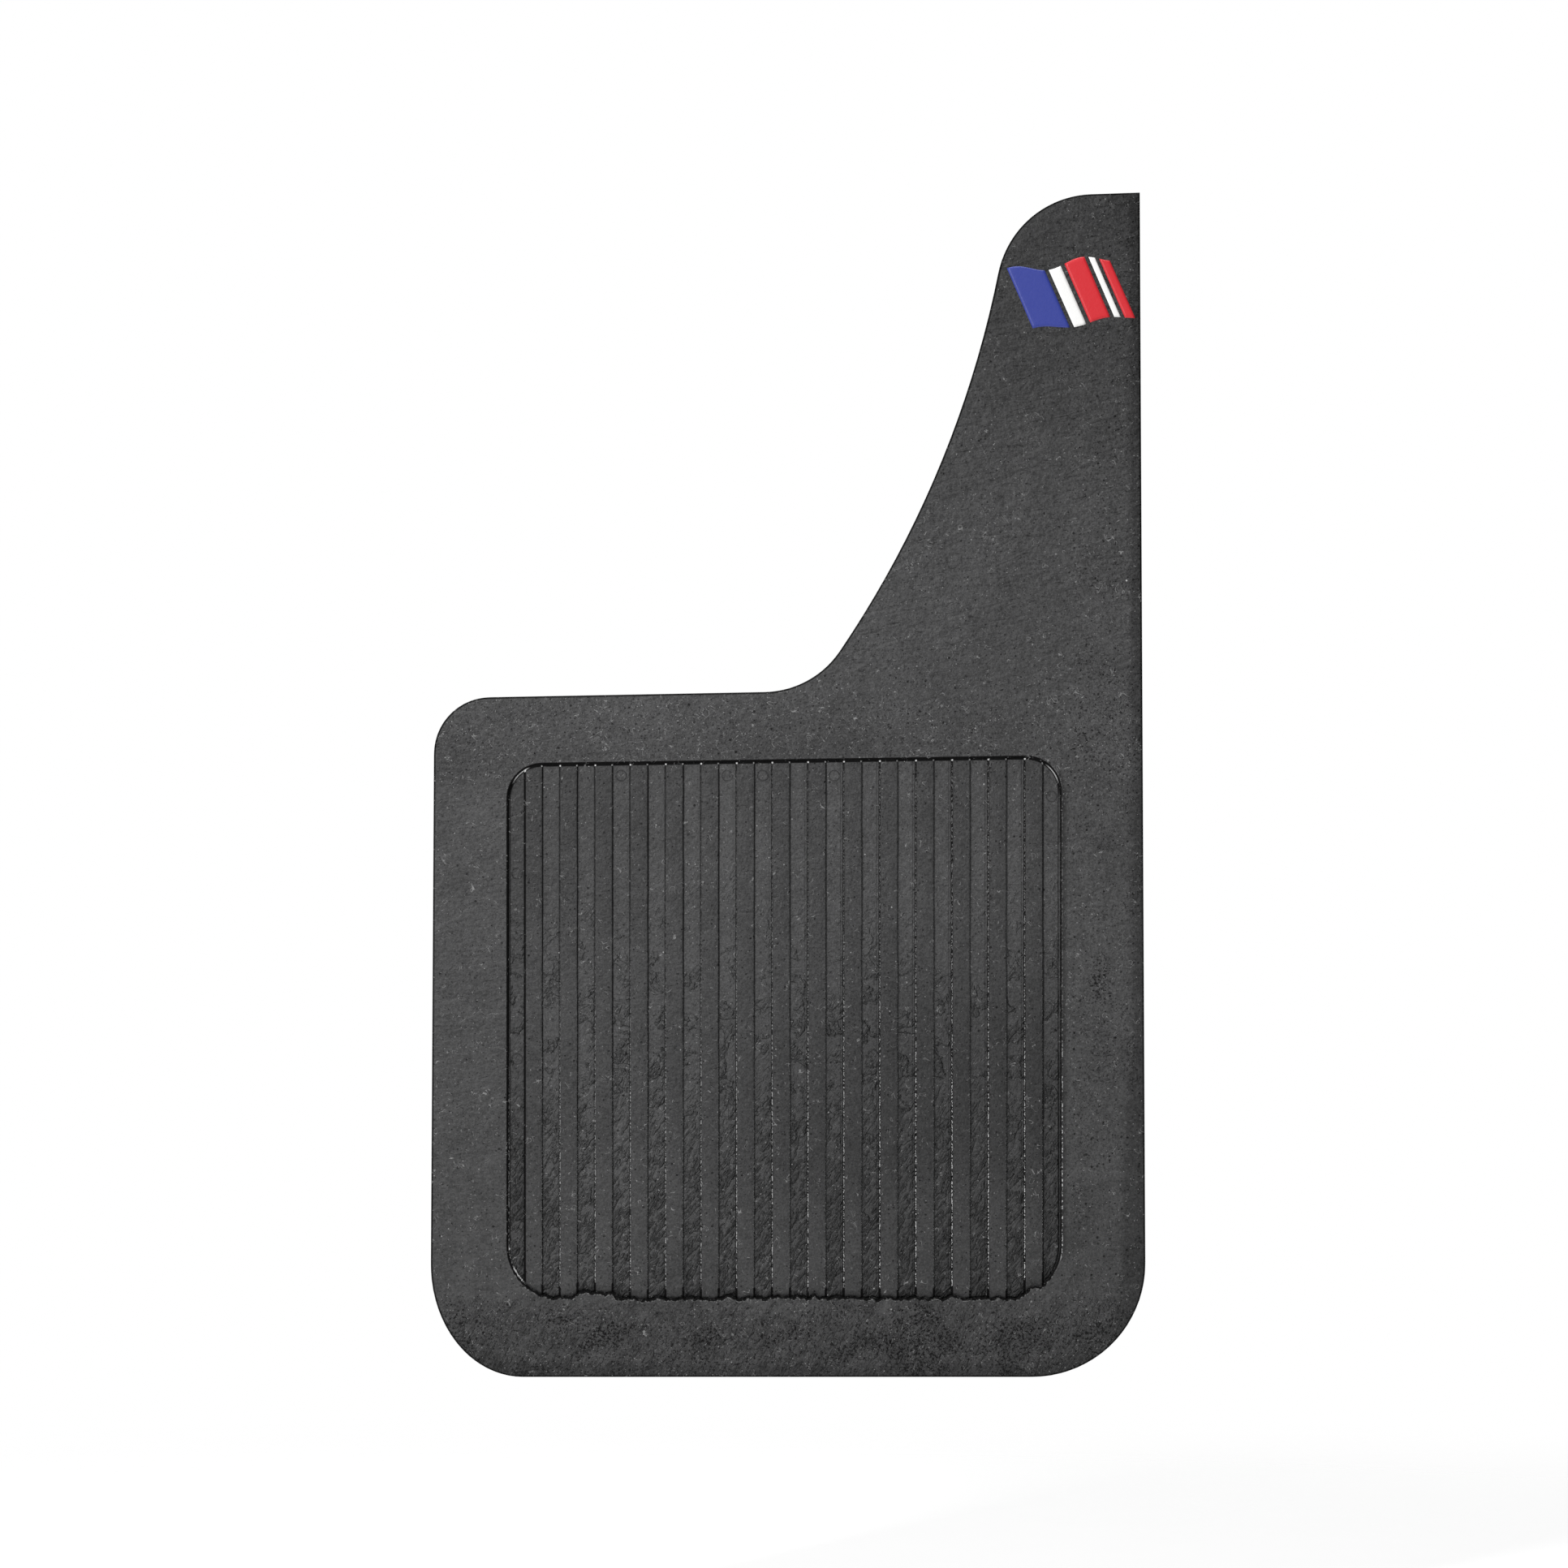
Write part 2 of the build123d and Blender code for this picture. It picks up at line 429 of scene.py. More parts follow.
def front_sheet(loop):
    """The front's points: rings inside the outline and along the rim, columns down the ribs, and a field."""
    sheet = Sheet(loop)
    for offset in EDGE_RINGS:
        sheet.add(*ring(loop, offset, loop))
    columns = rib_columns()
    rim = along(RIM, filled(crossings(RIM, columns), run(RIM)[-1], RIM_STEP))
    for offset in RIM_RINGS:
        sheet.add(*ring(rim, offset, RIM))

    rows = np.arange(RECESS_BOTTOM, RECESS_TOP, ROW_STEP)
    for x in columns:
        column = np.column_stack([np.full(len(rows), x), rows])
        column = column[distance_in(column, RIM) > RIM_RINGS[-1] + 0.35]
        sheet.add(column, [(i, i + 1) for i in range(len(column) - 1)])

    spread = hexagons(loop.min(axis=0), loop.max(axis=0), GRID_STEP, 0.25)
    spread = spread[distance_in(spread, loop) > EDGE_RINGS[-1] + 0.8]
    sheet.add(spread[distance_in(spread, RIM) < RIM_RINGS[0] - 0.8])
    return sheet.triangles(len(loop))


def back_sheet(loop):
    """The back's points: rings inside the outline and a coarse field, since the back is flat."""
    sheet = Sheet(loop)
    for offset in BACK_RINGS:
        sheet.add(*ring(loop, offset, loop))
    spread = hexagons(loop.min(axis=0), loop.max(axis=0), BACK_STEP)
    sheet.add(spread[distance_in(spread, loop) > 3.0])
    return sheet.triangles(len(loop))


def vent_marks():
    """Centres of the round marks that the mould's vents leave on the recess's floor."""
    top = RECESS_TOP - 7.5
    left = RECESS_LEFT + BAND * 0.55
    right = RECESS_RIGHT - BAND * 0.5
    marks = [(band_edge(band), top) for band in (6.5, 12.5, 14.5, 18.5)]
    marks += [(left, RECESS_BOTTOM + height) for height in (21, 34, 60, 93, 165)]
    marks += [(right, RECESS_BOTTOM + height) for height in (130, 195)]
    marks.append((band_edge(20.4), RECESS_BOTTOM + 62))
    return np.array(marks)


def scratch_lines():
    """The two ends of each scratch on the stem."""
    top = OUTLINE[:, 1].max()
    right = OUTLINE[:, 0].max()
    return [
        ((right - 98.0, top - 155.0), (right - 45.0, top - 130.0)),
        ((right - 25.0, top - 128.0), (right - 17.0, top - 134.5)),
    ]


def gap_to_lines(points, lines):
    """The distance from each point to the nearest of these straight lines."""
    gaps = []
    for a, b in lines:
        a, b = np.array(a), np.array(b)
        t = np.clip(((points - a) @ (b - a)) / ((b - a) @ (b - a)), 0, 1)
        gaps.append(np.linalg.norm(points - a - t[:, None] * (b - a), axis=1))
    return np.min(gaps, axis=0)


def corner_glint_share(points):
    """1 at the recess's rounded corners, where a highlight is painted on the rim, and 0 elsewhere along it.
    """
    from_left = points[:, 0] - RECESS_LEFT
    from_right = RECESS_RIGHT - points[:, 0]
    down = RECESS_TOP - 2.0 - points[:, 1]
    top_left = 1 - smooth(np.hypot(from_left - 3.0, down - 3.0), 2.5, 6.0)
    top_right = 0.5 - 0.5 * smooth(np.hypot(from_right - 2.6, down - 4.0), 1.8, 5.0)
    bottom_left = 1 - smooth(np.hypot(from_left - 4.4, points[:, 1] - RECESS_BOTTOM - 9.2), 2.0, 4.5)
    return np.maximum.reduce([top_left, top_right, bottom_left])


def store(mesh, name, values):
    """Puts one number per vertex on a mesh, for its material."""
    mesh.attributes.new(name, "FLOAT", "POINT").data.foreach_set("value", values.astype(np.float32))


def flap_mesh():
    """The whole flap as one closed mesh: front, side and back."""
    loop = edge_loop()
    front, front_faces, front_loop = front_sheet(loop)
    back, back_faces, back_loop = back_sheet(loop)
    inset = distance_in(front, loop)
    inset[front_loop] = 0.0
    into = distance_in(front, RIM)
    depth = front_depth(front, inset, into)

    back_inset = np.clip(distance_in(back, loop), 0, BACK_ROUND)
    back_inset[back_loop] = 0.0
    back_corner = BACK_ROUND - back_inset
    back_y = BACK_Y - (BACK_ROUND - np.sqrt(BACK_ROUND**2 - back_corner**2))

    x = np.concatenate([front[:, 0], back[:, 0]])
    y = np.concatenate([FRONT_Y + depth, back_y])
    z = np.concatenate([front[:, 1], back[:, 1]])
    vertices = np.column_stack([x, y, z])
    back_loop = back_loop + len(front)
    following = np.roll(np.arange(len(loop)), -1)
    side = np.vstack([
        np.column_stack([front_loop, back_loop, back_loop[following]]),
        np.column_stack([front_loop, back_loop[following], front_loop[following]]),
    ])
    faces = np.vstack([front_faces, (back_faces + len(front))[:, ::-1], side])

    mesh = bpy.data.meshes.new("rubber_flap")
    mesh.from_pydata((vertices * MM).tolist(), [], faces.tolist())
    mesh.shade_smooth()
    place = mesh.attributes.new("place", "FLOAT_VECTOR", "POINT")
    place.data.foreach_set("vector", vertices.astype(np.float32).ravel())
    behind = np.full(len(back), 100.0)
    store(mesh, "inset", np.concatenate([inset, back_inset + 10.0]))
    store(mesh, "into", np.concatenate([into, -behind]))
    store(mesh, "rib_left", np.concatenate([nearest_gap(front[:, 0], RIB_LEFTS), behind]))
    store(mesh, "rib_right", np.concatenate([nearest_gap(front[:, 0], RIB_RIGHTS), behind]))
    floor = 1 - np.clip(rib_profile(front[:, 0]), 0, 1)
    store(mesh, "floor", np.concatenate([floor * (into > 0), 0 * behind]))
    vents = np.linalg.norm(front[:, None, :] - vent_marks()[None, :, :], axis=2).min(axis=1)
    store(mesh, "vent", np.concatenate([vents, behind]))
    store(mesh, "corner", np.concatenate([corner_glint_share(front), 0 * behind]))
    store(mesh, "scratch", np.concatenate([gap_to_lines(front, scratch_lines()), behind]))
    return mesh


# ---------------------------------------------------------------- materials

class Nodes:
    """A material's node tree, with a short call for each kind of node that the materials use."""

    def __init__(self, name):
        self.material = bpy.data.materials.new(name)
        self.material.use_nodes = True
        self.tree = self.material.node_tree
        self.shader = self.tree.nodes["Principled BSDF"]

    def put(self, node, socket, value):
        if isinstance(value, bpy.types.NodeSocket):
            self.tree.links.new(value, node.inputs[socket])
        elif value is not None:
            node.inputs[socket].default_value = value

    def math(self, operation, a, b=None, c=None):
        node = self.tree.nodes.new("ShaderNodeMath")
        node.operation = operation
        for socket, value in enumerate((a, b, c)):
            self.put(node, socket, value)
        return node.outputs[0]

    def vector(self, operation, a, b=None):
        node = self.tree.nodes.new("ShaderNodeVectorMath")
        node.operation = operation
        self.put(node, 0, a)
        self.put(node, 1, b)
        return node.outputs[0]

    def turned(self, vector, angle, scale):
        """Places turned by an angle and then scaled, so that noise on them has its grain along that angle."""
        node = self.tree.nodes.new("ShaderNodeVectorRotate")
        node.rotation_type = "Z_AXIS"
        self.put(node, "Vector", vector)
        node.inputs["Angle"].default_value = math.radians(-angle)
        return self.vector("MULTIPLY", node.outputs[0], scale)

    def attribute(self, name, output="Fac"):
        node = self.tree.nodes.new("ShaderNodeAttribute")
        node.attribute_name = name
        return node.outputs[output]

    def noise(self, vector, scale, detail=2.0, rough=0.5, twist=0.0):
        node = self.tree.nodes.new("ShaderNodeTexNoise")
        self.put(node, "Vector", vector)
        settings = {"Scale": scale, "Detail": detail, "Roughness": rough, "Distortion": twist}
        for socket, value in settings.items():
            node.inputs[socket].default_value = value
        return node.outputs["Fac"]

    def cells(self, vector, scale, dimensions):
        """The distance to the nearest cell's point, in cells, and that cell's random colour."""
        node = self.tree.nodes.new("ShaderNodeTexVoronoi")
        node.voronoi_dimensions = dimensions
        self.put(node, "Vector", vector)
        node.inputs["Scale"].default_value = scale
        return node.outputs["Distance"], node.outputs["Color"]

    def step(self, value, low, high):
        """0 below low, 1 above high, and smooth between; low above high turns it round."""
        node = self.tree.nodes.new("ShaderNodeMapRange")
        node.interpolation_type = "SMOOTHSTEP"
        turned_round = low > high
        self.put(node, "Value", value)
        node.inputs["From Min"].default_value = min(low, high)
        node.inputs["From Max"].default_value = max(low, high)
        node.inputs["To Min"].default_value = 1.0 if turned_round else 0.0
        node.inputs["To Max"].default_value = 0.0 if turned_round else 1.0
        return node.outputs[0]

    def crisp(self, value, low, high):
        """Noise with its contrast drawn out, moved to the range from low to high."""
        return self.scaled(self.step(value, 0.3, 0.7), low, high)

    def times(self, *values):
        result = values[0]
        for value in values[1:]:
            result = self.math("MULTIPLY", result, value)
        return result

    def plus(self, *values):
        result = values[0]
        for value in values[1:]:
            result = self.math("ADD", result, value)
        return result

    def scaled(self, value, low, high):
        """A value from 0 to 1, moved to the range from low to high."""
        return self.math("MULTIPLY_ADD", value, high - low, low)

    def mix(self, share, a, b):
        """Colour a where the share is 0 and b where it is 1; sockets 6 and 7 are the node's colour inputs."""
        node = self.tree.nodes.new("ShaderNodeMix")
        node.data_type = "RGBA"
        self.put(node, 0, share)
        for socket, value in ((6, a), (7, b)):
            self.put(node, socket, value)
        return node.outputs[2]

    def bump(self, height, distance):
        node = self.tree.nodes.new("ShaderNodeBump")
        self.put(node, "Height", height)
        node.inputs["Distance"].default_value = distance
        node.inputs["Strength"].default_value = 1.0
        return node.outputs[0]


def specks(n, place, cell, radius, share, dimensions="3D"):
    """Small spots in this share of a field of cells; the cell's and the spot's sizes are in millimetres."""
    far, colour = n.cells(place, 1.0 / cell, dimensions)
    split = n.tree.nodes.new("ShaderNodeSeparateColor")
    n.put(split, 0, colour)
    chosen = n.math("LESS_THAN", split.outputs[0], share)
    size = n.scaled(split.outputs[1], 0.45, 1.0)
    spot = n.step(n.math("DIVIDE", far, size), radius / cell, radius / cell * 0.5)
    return n.times(spot, chosen, n.scaled(split.outputs[2], 0.35, 1.0))


def line(n, gap, middle, half_width):
    """A soft line where a distance is near its middle value."""
    away = n.math("ABSOLUTE", n.math("SUBTRACT", gap, middle))
    return n.step(away, half_width, half_width * 0.3)


def zones(n):
    """Where each point is, in millimetres, and masks from 0 to 1 for the areas that wear in their own way."""
    at = SimpleNamespace()
    split = n.tree.nodes.new("ShaderNodeSeparateXYZ")
    n.put(split, 0, n.attribute("place", "Vector"))
    at.x, y, at.z = split.outputs
    join = n.tree.nodes.new("ShaderNodeCombineXYZ")
    for socket, value in enumerate((at.x, at.z, y)):
        n.put(join, socket, value)
    at.place = join.outputs[0]
    at.height = n.math("SUBTRACT", at.z, float(RECESS_BOTTOM))

    # Distances inside the outline, past the ribs' edges, and inside the recess's rim, which is toothed below
    at.inset, at.floor = n.attribute("inset"), n.attribute("floor")
    at.rib_left, at.rib_right = n.attribute("rib_left"), n.attribute("rib_right")
    teeth = n.times(n.plus(n.noise(at.place, 0.9, 2.0, 0.6), -0.5), n.step(at.height, 16.0, 8.0), 1.3)
    at.into = n.plus(n.attribute("into"), teeth)

    # Noise that several marks share
    at.patch = n.noise(at.place, 0.11, 4.0, 0.6, 0.5)
    at.grain = n.noise(at.place, 0.9, 3.0, 0.8)
    at.beads = n.step(n.noise(at.place, 1.35, 1.0, 0.5), 0.5, 0.58)

    # Across the flap
    left, right = float(RECESS_LEFT), float(RECESS_RIGHT)
    at.left_side = n.step(at.x, left + 60.0, left - 20.0)
    at.rightward = n.step(at.x, left + 30.0, right - 40.0)
    at.right_side = n.step(at.x, right - 5.0, right - 2.0)
    at.first_rib = n.step(at.x, float(RIB_LEFTS[0]) + 2.0, float(RIB_LEFTS[0]) + 1.0)
    at.last_rib = n.step(at.x, float(RIB_RIGHTS[-1]) - 2.0, float(RIB_RIGHTS[-1]) - 1.0)

    # Up the flap
    at.upper = n.step(at.height, 12.0, 20.0)
    at.lower = n.step(at.height, 125.0, 20.0)
    at.downward = n.step(at.height, 110.0, 20.0)
    at.on_stem = n.step(at.height, 220.0, 265.0)

    # In the recess and round it
    at.ribbed = n.step(at.into, -0.1, 0.4)
    at.front = n.step(y, float(BACK_Y) - 1.2, float(BACK_Y) - 2.4)
    at.around = n.times(at.front, n.step(at.into, 0.0, -1.0))
    at.border = n.times(at.around, n.step(n.plus(at.height, n.times(at.patch, 30.0)), 20.0, 5.0))
    at.above = n.times(at.around, n.step(at.height, 196.0, 204.0), n.step(at.height, 250.0, 225.0))
    at.right_edge = n.times(at.around, n.step(at.x, right, right + 6.0))
    curly = n.step(at.height, 190.0, 50.0)
    spread = n.math("MAXIMUM", at.lower, n.step(at.patch, 0.5, 0.6))
    folded = n.times(at.floor, curly, n.step(at.into, 0.3, 1.2), spread)
    at.rough = n.math("MINIMUM", n.plus(folded, n.times(at.border, 0.42)), 1.0)
    at.rough_border = n.times(at.border, n.scaled(at.left_side, 0.35, 1.0))
    return at


def pitting(n, at):
    """Where the skin is pitted, as the patches where pits crowd and the pits themselves."""
    right = float(RECESS_RIGHT)
    strip = n.times(n.step(at.x, right, right + 8.0), 0.25)
    edging = n.times(at.front, n.step(at.into, -1.0, -3.0), n.math("MAXIMUM", strip, at.border))
    crowd = n.times(edging, n.step(n.noise(at.place, 0.05, 4.0, 0.65, 0.4), 0.5, 0.6))
    for across, up, wide, tall in PATCHES:
        off_x = n.math("MULTIPLY_ADD", at.x, 1 / wide, -(right + across) / wide)
        off_z = n.math("MULTIPLY_ADD", at.height, 1 / tall, -up / tall)
        away = n.math("ADD", n.math("POWER", off_x, 2.0), n.math("POWER", off_z, 2.0))
        inside = n.step(n.plus(away, n.times(at.patch, 2.4)), 2.2, 1.2)
        crowd = n.math("MAXIMUM", crowd, n.times(at.front, inside))

    pit_share = n.plus(
        0.16, n.times(n.step(at.patch, 0.46, 0.62), 0.4), n.times(at.floor, at.lower, 0.35),
        n.times(crowd, 0.9), n.times(at.border, 0.34), n.times(at.above, 0.22),
    )
    hollow_share = n.times(at.front, n.plus(
        0.035, n.times(at.border, 0.32), n.times(at.above, 0.1), n.times(crowd, 0.35),
        n.times(at.right_edge, 0.12),
    ))
    gnawed_share = n.plus(
        n.times(at.border, 0.8), n.times(at.above, 0.4), crowd, n.times(at.right_edge, 0.35),
    )
    gnawed = n.times(
        n.step(n.plus(n.noise(at.place, 1.0, 3.0, 0.75), n.times(crowd, -0.06)), 0.42, 0.35),
        n.math("MINIMUM", gnawed_share, 1.0),
    )
    pits = n.plus(
        specks(n, at.place, 1.9, 0.55, pit_share),
        n.times(specks(n, at.place, 1.1, 0.34, pit_share), 0.75),
        n.times(specks(n, at.place, 2.3, 0.66, hollow_share, "2D"), 0.9),
        gnawed,
    )
    return crowd, pits


def rib_shade_lines(n, at):
    """Painted shade: the fine black lines at the feet of the ribs, inside the recess, and dark ticks near the
    lip.
    """
    along_rib = n.noise(n.turned(at.place, 0.0, (0.14, 0.035, 1.0)), 1.0, 2.0)
    broken = n.step(n.noise(at.place, 0.9, 3.0, 0.6), 0.4, 0.52)
    fading = n.times(n.scaled(at.rightward, 1.0, 0.3), n.scaled(n.times(at.rightward, at.lower), 1.0, 0.0))
    right_line = n.times(
        line(n, at.rib_right, 0.05, 0.34),
        n.scaled(n.step(along_rib, 0.35, 0.6), 0.7, 1.0),
        n.math("MAXIMUM", at.last_rib, fading),
    )
    wide_line = n.times(line(n, at.rib_left, 0.0, 0.7), n.math("MAXIMUM", at.rightward, at.first_rib))
    gaps = n.times(n.scaled(broken, 0.3, 1.0), n.scaled(at.rightward, 0.75, 1.0))
    left_line = n.times(
        n.math("MAXIMUM", line(n, at.rib_left, -0.14, 0.5), wide_line),
        n.math("MAXIMUM", at.first_rib, gaps),
    )
    twin_line = n.times(line(n, at.rib_left, -1.2, 0.3), at.rightward, 0.4)
    nearest = n.math("MINIMUM", n.math("ABSOLUTE", at.rib_left), n.math("ABSOLUTE", at.rib_right))
    ticks = n.times(n.step(nearest, 0.6, 0.25), n.step(at.into, 4.4, 3.4), n.step(at.height, 16.0, 10.0))
    return n.times(at.ribbed, n.plus(right_line, left_line, twin_line, ticks))


def rim_shade_lines(n, at):
    """Painted shade along the recess's rim: dark lines on two of its walls, their brow and foot, and under
    the lip of flash.
    """
    left = float(RECESS_LEFT)
    at_top = n.step(at.height, 192.0, 200.0)
    at_left = n.step(at.x, left + 9.0, left + 6.0)
    top_wall = n.times(n.step(at.into, -0.35, -0.05), n.step(at.into, 1.15, 0.85), at_top)
    left_wall = n.times(n.step(at.into, -0.25, 0.0), n.step(at.into, 0.85, 0.6), at_left)
    brow = n.plus(
        n.times(line(n, at.into, -0.1, 0.45), n.math("SUBTRACT", 1.0, at.right_side)),
        n.times(line(n, at.into, 0.1, 0.55), at.right_side, n.scaled(at.beads, 1.0, 0.75)),
    )
    foot = n.times(line(n, at.into, 1.05, 0.3), at.upper, 0.8)
    lip = n.times(line(n, at.into, 0.2, 0.36), n.step(at.height, 20.0, 12.0), n.scaled(at.floor, 0.7, 1.0))
    return n.plus(foot, brow, top_wall, left_wall, lip)


def tones(n, at):
    """Masks for the broad changes of tone over the flap, each with the shade where it is 1; several are
    painted light: shade and shadow at the edges, the rim and the lip, a lift on the ribs' right walls, and a
    fall of light across the flap.
    """
    left, right = float(RECESS_LEFT), float(RECESS_RIGHT)
    far_right = float(OUTLINE[:, 0].max())
    foot, top = float(OUTLINE[:, 1].min()), float(OUTLINE[:, 1].max())
    outer = n.step(at.x, far_right - 17.0, far_right - 6.0)
    bottom = n.step(at.z, foot + 14.0, foot + 4.0)
    wandering = n.plus(at.inset, n.times(n.plus(at.patch, -0.5), 3.5), n.times(outer, at.downward, -5.7))
    # Painted shade where the front falls away towards the right and bottom edges
    edge_fall_shade = n.times(n.step(wandering, 6.8, 2.6), n.math("MAXIMUM", outer, bottom))
    # Painted shadow in a band just outside the recess's right wall
    beside_rim = n.times(n.step(at.into, -3.0, -0.7), n.step(at.into, 0.0, -0.3))
    beside = n.times(beside_rim, n.step(at.x, right - 2.0, right))
    # Painted shadow under the lip of flash, darkening the last few millimetres above it
    lip_shadow = n.times(n.step(at.into, 5.0, 0.2), n.step(at.into, -0.1, 0.1), n.step(at.height, 14.0, 7.0))
    rib_top = n.times(at.ribbed, n.math("SUBTRACT", 1.0, at.floor))
    rib_foot = n.times(rib_top, at.rightward, n.step(at.height, 60.0, 20.0))
    # Painted light on the ribs' right walls, which the key light leaves in shade
    right_lift = n.times(line(n, at.rib_right, 0.0, 0.62), n.scaled(at.rightward, 0.35, 1.0), at.ribbed)
    # Painted shade in the first gap, beside the recess's left wall
    first_gap = n.times(at.ribbed, n.step(at.x, left + BAND, left + BAND - 0.6))
    top_left = n.times(at.ribbed, n.step(at.height, 120.0, 200.0), n.step(at.x, left + 140.0, left))
    low_right = n.times(at.ribbed, n.step(at.height, 150.0, 90.0), at.rightward)
    # Painted fall of light across the flap: darker up the stem, at the panel's bottom and at its left, and
    # lighter or darker in parts of the border above and right of the recess
    up_stem = n.step(at.z, top - 170.0, top)
    down_panel = n.step(at.height, 70.0, -20.0)
    near_left = n.step(at.x, left + 220.0, left + 120.0)
    near_right = n.step(at.x, left + 120.0, left + 220.0)
    return (
        (at.floor, 1.12),
        (rib_top, 0.83),
        (n.times(rib_top, at.lower), 0.86),
        (n.times(rib_top, n.step(at.height, 70.0, 25.0)), 1.25),
        (rib_foot, 1.25),
        (right_lift, 1.5),
        (first_gap, 0.82),
        (top_left, 0.8),
        (low_right, 0.75),
        (n.times(lip_shadow, n.scaled(at.floor, 0.6, 1.0)), 0.5),
        (edge_fall_shade, 0.7),
        (n.times(beside, at.upper), 0.52),
        (up_stem, 0.65),
        (down_panel, 0.85),
        (at.left_side, 0.93),
        (n.times(at.above, n.step(at.height, 228.0, 212.0), near_left), 0.86),
        (n.times(at.above, near_right), 1.04),
        (n.times(at.right_edge, n.math("SUBTRACT", 1.0, edge_fall_shade)), 1.09),
        (n.times(at.right_edge, at.downward), 0.91),
    )


def dust_and_glints(n, at):
    """Dust and hairs, and painted highlights as pale dots and lines on the ribs and along the recess's rim,
    as one mask.
    """
    dust_share = n.plus(
        n.scaled(n.step(n.noise(at.place, 0.06, 2.0, 0.6), 0.4, 0.65), 0.12, 0.55),
        n.times(at.border, 0.45), n.times(at.above, 0.6), n.times(at.right_edge, 0.2),
    )
    dust = n.plus(
        n.times(specks(n, at.place, 1.5, 0.3, dust_share), 0.26),
        n.times(specks(n, at.place, 2.9, 0.34, dust_share), 0.55),
        n.times(specks(n, at.place, 6.0, 0.42, 0.2), 0.7),
        specks(n, at.place, 26.0, 0.6, 0.3),
    )
    hair_gap = n.math("ABSOLUTE", n.plus(n.noise(at.place, 0.24, 1.0, 0.4, 1.4), -0.5))
    hair_share = n.plus(n.noise(at.place, 0.33, 1.0), n.times(at.above, 0.05))
    hairs = n.times(n.step(hair_gap, 0.013, 0.005), n.step(hair_share, 0.59, 0.65))

    # Painted highlights: beads along the ribs' edges, dots at their tips under the top wall, and lines on the
    # left wall, the corners, the right wall and below the lip
    sparse = n.step(n.noise(at.place, 1.7, 1.0, 0.5), 0.58, 0.66)
    rising = n.plus(n.step(at.height, 175.0, 15.0), n.times(at.rightward, 0.3))
    rib_beads = n.plus(
        n.times(line(n, at.rib_left, 0.06, 0.26), at.beads, 0.9),
        n.times(line(n, at.rib_right, -0.08, 0.2), sparse, 0.6),
    )
    rib_glints = n.times(
        at.ribbed, n.step(at.into, 3.6, 4.4), rising, n.math("SUBTRACT", 1.0, at.first_rib),
        n.scaled(at.rightward, 0.75, 1.0), rib_beads,
    )
    tip = n.plus(line(n, at.rib_left, 0.12, 0.44), n.times(line(n, at.rib_right, -0.1, 0.4), 0.8))
    rib_tip = n.times(line(n, at.into, 0.95, 0.42), tip, n.step(at.height, 190.0, 195.0))

    left = float(RECESS_LEFT)
    left_wall_glint = n.times(at.beads, n.step(at.x, left + 4.0, left + 2.0), n.step(at.height, 110.0, 40.0), 0.3)
    wall = n.times(line(n, at.into, 0.6, 0.3), n.plus(n.times(n.attribute("corner"), 1.2), left_wall_glint))
    rim = n.times(line(n, at.into, -0.5, 0.24), at.right_side, at.beads, at.upper)
    rim_dots = n.times(rim, n.scaled(n.step(at.height, 125.0, 60.0), 0.15, 0.85))
    lip = n.times(line(n, at.into, -0.45, 0.3), n.step(at.height, 16.0, 8.0), at.beads, 0.14)
    marks = n.plus(dust, n.times(hairs, 0.24), n.times(rib_glints, 0.9), wall, rim_dots, rib_tip, lip)
    return n.math("MINIMUM", marks, 1.0)


